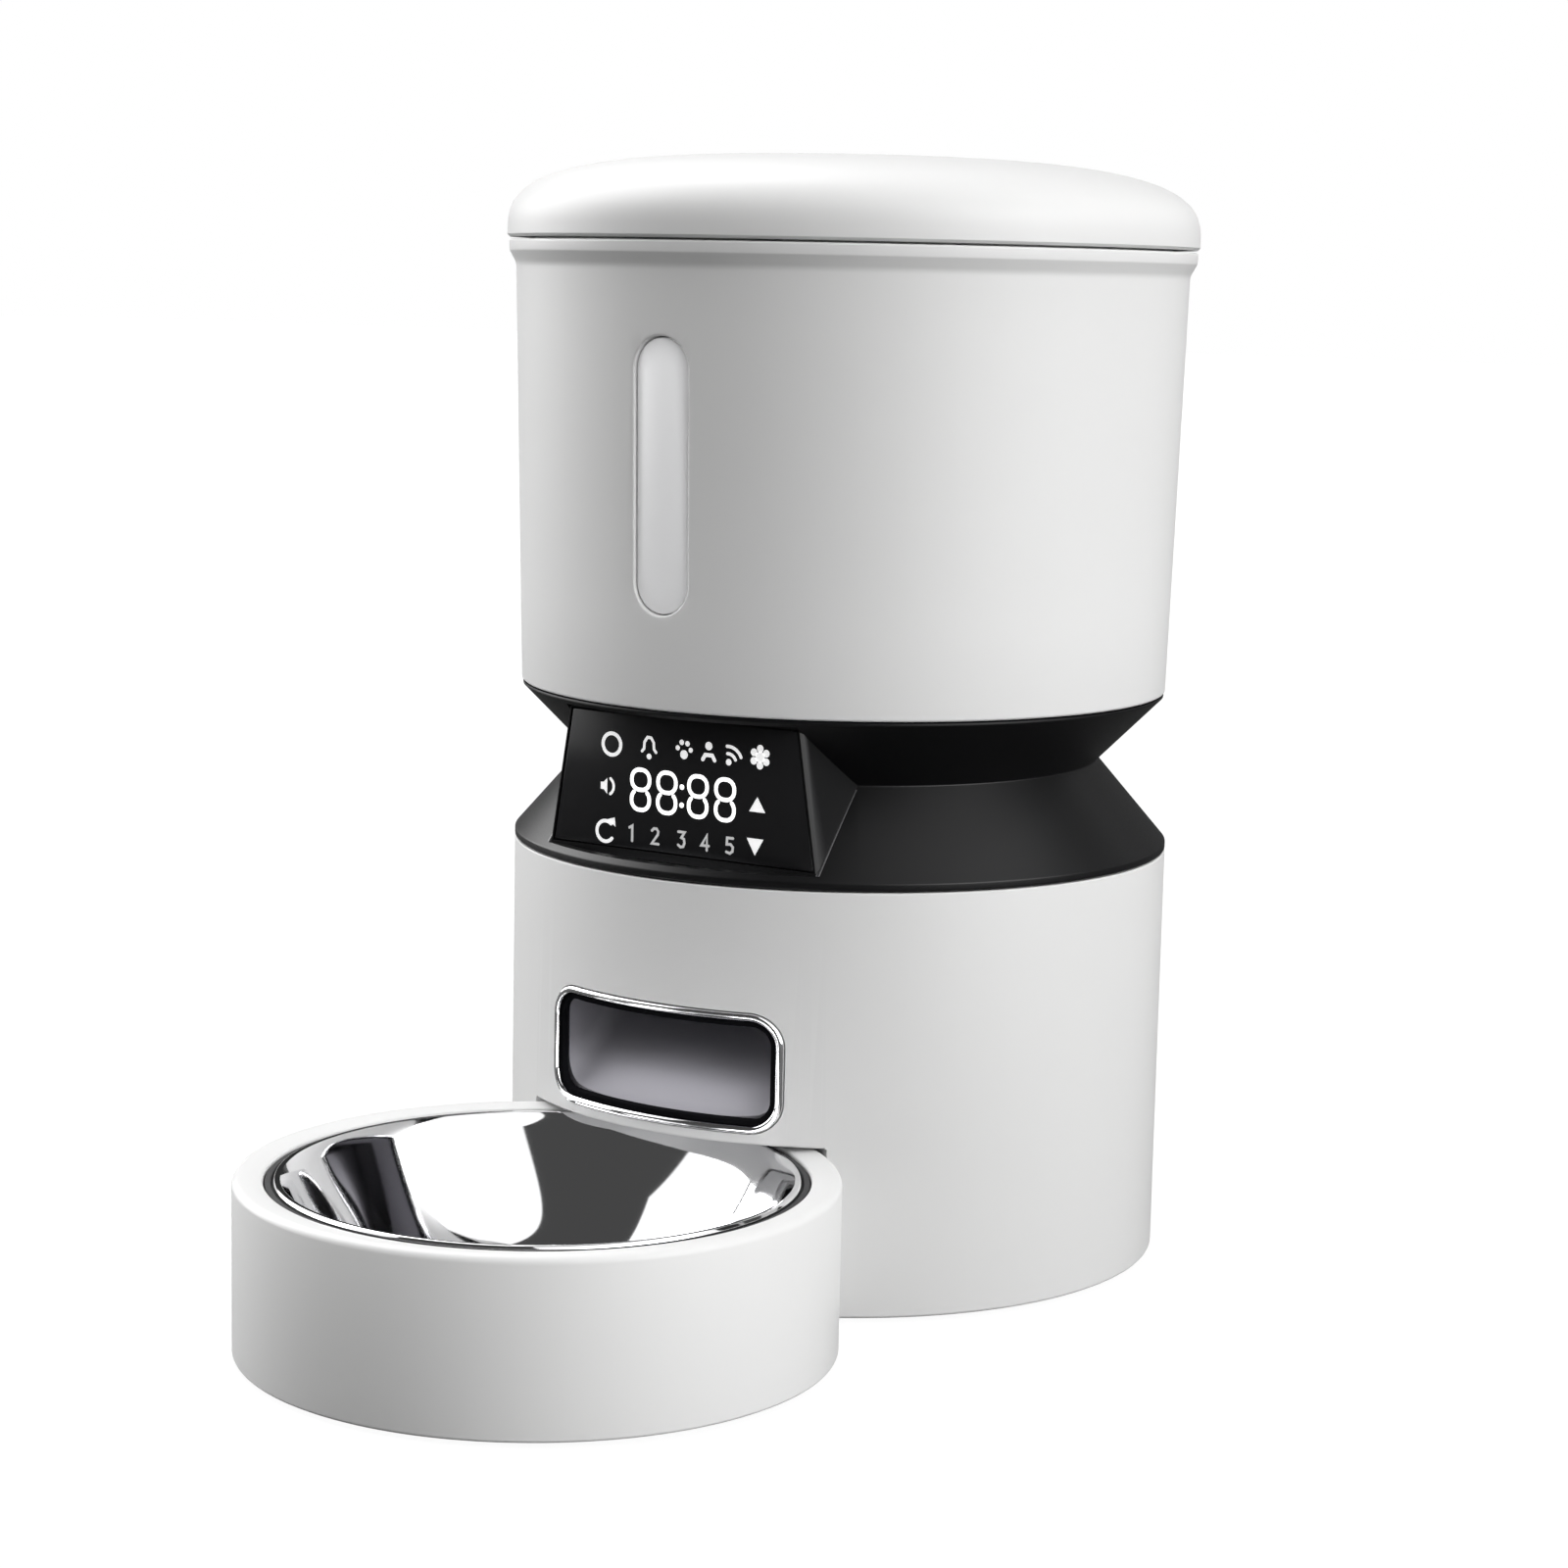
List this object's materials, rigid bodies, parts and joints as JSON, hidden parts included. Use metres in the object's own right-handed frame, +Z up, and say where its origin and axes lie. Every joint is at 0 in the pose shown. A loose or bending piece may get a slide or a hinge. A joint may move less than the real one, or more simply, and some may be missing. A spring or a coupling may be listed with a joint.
{
  "type": "automatic pet feeder",
  "caption": "Round tower pet feeder: lift-off food tank and lid on a black waist with a touch panel, dispensing rotor and gears, front chute, steel bowl in a dock-in tray.",
  "frame": {"origin": "centre of the bounding box in plan, on the table under the feet", "axes": "+Z up, -Y towards the bowl and the control panel, +X to the right seen from the front looking along +Y"},
  "size_m": [0.1976, 0.3234, 0.3148],
  "materials": {
    "white_shell": "satin white ABS",
    "grey_plastic": "matte light grey ABS",
    "chute_grey": "smooth lavender grey ABS",
    "black_shell": "satin black ABS",
    "black_glass": "gloss black touch panel with white symbols",
    "window": "translucent light grey",
    "bowl_steel": "polished stainless steel",
    "chrome_trim": "bright plated trim",
    "steel": "plain steel",
    "brass": "satin brass",
    "nylon": "natural nylon",
    "silicone": "translucent silicone",
    "rubber": "matte rubber",
    "circuit_board": "green solder mask",
    "battery": "printed sleeve",
    "black_part": "matte black",
    "fleece": "non-woven pouch"
  },
  "bodies": {
    "base": {"body_shell": "white_shell", "base_plate": "grey_plastic", "foot_1": "rubber", "foot_2": "rubber", "foot_3": "rubber", "foot_4": "rubber", "base_screw_1": "steel", "base_screw_2": "steel", "base_screw_3": "steel", "base_screw_4": "steel", "battery_box": "grey_plastic", "battery_1": "battery", "battery_2": "battery", "battery_3": "battery", "contacts_front": "brass", "contacts_rear": "brass", "main_board": "circuit_board", "board_capacitor": "black_part", "board_connector": "nylon", "power_inlet": "black_part", "speaker": "black_part", "chute_duct": "chute_grey", "chute_trim": "chrome_trim", "food_sensor_left": "black_part", "food_sensor_right": "black_part", "dispenser_deck": "grey_plastic", "portion_guard": "grey_plastic", "idler_axle": "steel", "gear_motor": "steel", "gear_case": "black_part", "case_screw_1": "steel", "case_screw_2": "steel", "case_screw_3": "steel", "waist_shell": "black_shell", "touch_glass": "black_glass", "display_module": "black_part", "display_board": "circuit_board"},
    "rotor": {"impeller": "silicone", "stirrer": "nylon", "rotor_shaft": "steel", "output_gear": "nylon"},
    "idler": {"idler_gear": "nylon"},
    "motor_shaft": {"motor_pinion": "brass"},
    "tank": {"tank_shell": "white_shell", "tank_window": "window", "tank_funnel": "grey_plastic"},
    "lid": {"lid_shell": "white_shell", "lid_seal": "silicone", "desiccant_holder": "grey_plastic", "desiccant_pack": "fleece"},
    "desiccant_flap": {"desiccant_cover": "grey_plastic"},
    "tray": {"bowl_tray": "white_shell", "tray_pad_1": "rubber", "tray_pad_2": "rubber", "tray_pad_3": "rubber", "bowl_gasket": "rubber", "steel_bowl": "bowl_steel"},
    "door": {"battery_door": "grey_plastic"}
  },
  "joints": [
    {"name": "tank_lift", "type": "slide", "parent": "base", "child": "tank", "axis": [0, 0, 1], "range_m": [0, 0.08]},
    {"name": "lid_lift", "type": "slide", "parent": "tank", "child": "lid", "axis": [0, 0, 1], "range_m": [0, 0.06]},
    {"name": "desiccant_flap_hinge", "type": "hinge", "parent": "lid", "child": "desiccant_flap", "pos_m": [0, 0.09685, 0.2907], "axis": [1, 0, 0], "range_deg": [0, 90]},
    {"name": "rotor_spin", "type": "hinge", "parent": "base", "child": "rotor", "pos_m": [0, 0.06285, 0.12], "axis": [0, 0, 1], "continuous": true},
    {"name": "idler_spin", "type": "hinge", "parent": "base", "child": "idler", "pos_m": [0.01777, 0.08403, 0.104], "axis": [0, 0, 1], "continuous": true},
    {"name": "motor_spin", "type": "hinge", "parent": "base", "child": "motor_shaft", "pos_m": [-0.00228, 0.09561, 0.101], "axis": [0, 0, 1], "continuous": true},
    {"name": "tray_slide", "type": "slide", "parent": "base", "child": "tray", "axis": [0, -1, 0], "range_m": [0, 0.06]},
    {"name": "battery_door_slide", "type": "slide", "parent": "base", "child": "door", "axis": [0, 1, 0], "range_m": [0, 0.05]}
  ],
  "couplings": [
    {"joint": "idler_spin", "follows": "rotor_spin", "ratio": -2.6667},
    {"joint": "motor_spin", "follows": "rotor_spin", "ratio": 9.6}
  ]
}
